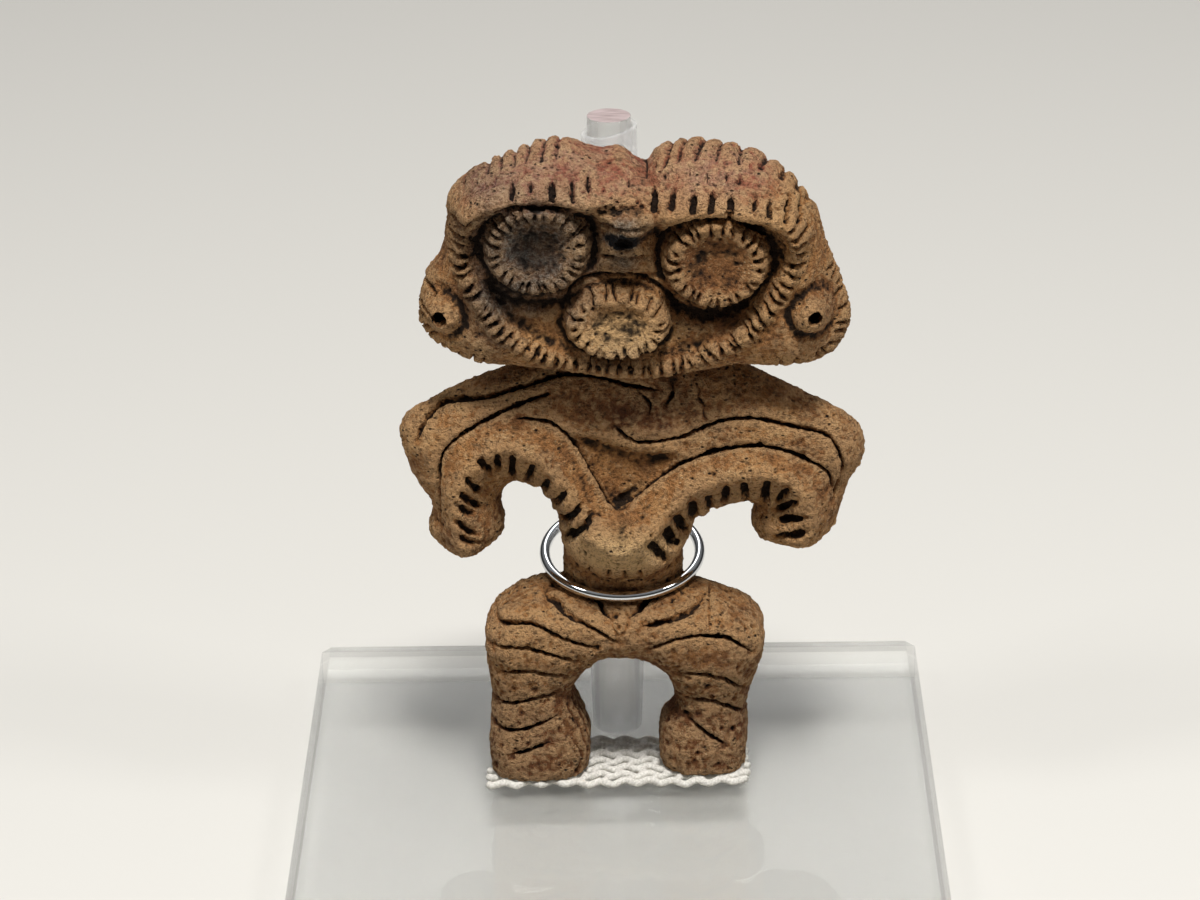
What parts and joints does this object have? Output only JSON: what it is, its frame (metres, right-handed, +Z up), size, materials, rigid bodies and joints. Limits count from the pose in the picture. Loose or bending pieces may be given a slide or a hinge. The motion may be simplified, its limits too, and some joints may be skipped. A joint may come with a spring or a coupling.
{
  "type": "dogu figurine on a display stand",
  "caption": "Horned-owl type clay figurine standing on a clear acrylic plate, held upright by a steel ring round its waist and a sleeved clear rod.",
  "frame": {"origin": "centre of the base plate's underside", "axes": "+Z up along the rod, the figure looks along -Y, +X to the right seen from the front"},
  "size_m": [0.13, 0.13, 0.1466],
  "materials": {
    "fired_clay": "matte",
    "clear_acrylic": "polished",
    "clear_sleeve": "satin",
    "polished_steel": "polished",
    "white_mesh": "matte"
  },
  "bodies": {
    "root": {"dogu_figurine": "fired_clay", "base_plate": "clear_acrylic", "post": "clear_acrylic", "post_sleeve": "clear_sleeve", "waist_ring": "polished_steel", "grip_mat": "white_mesh"}
  },
  "joints": []
}
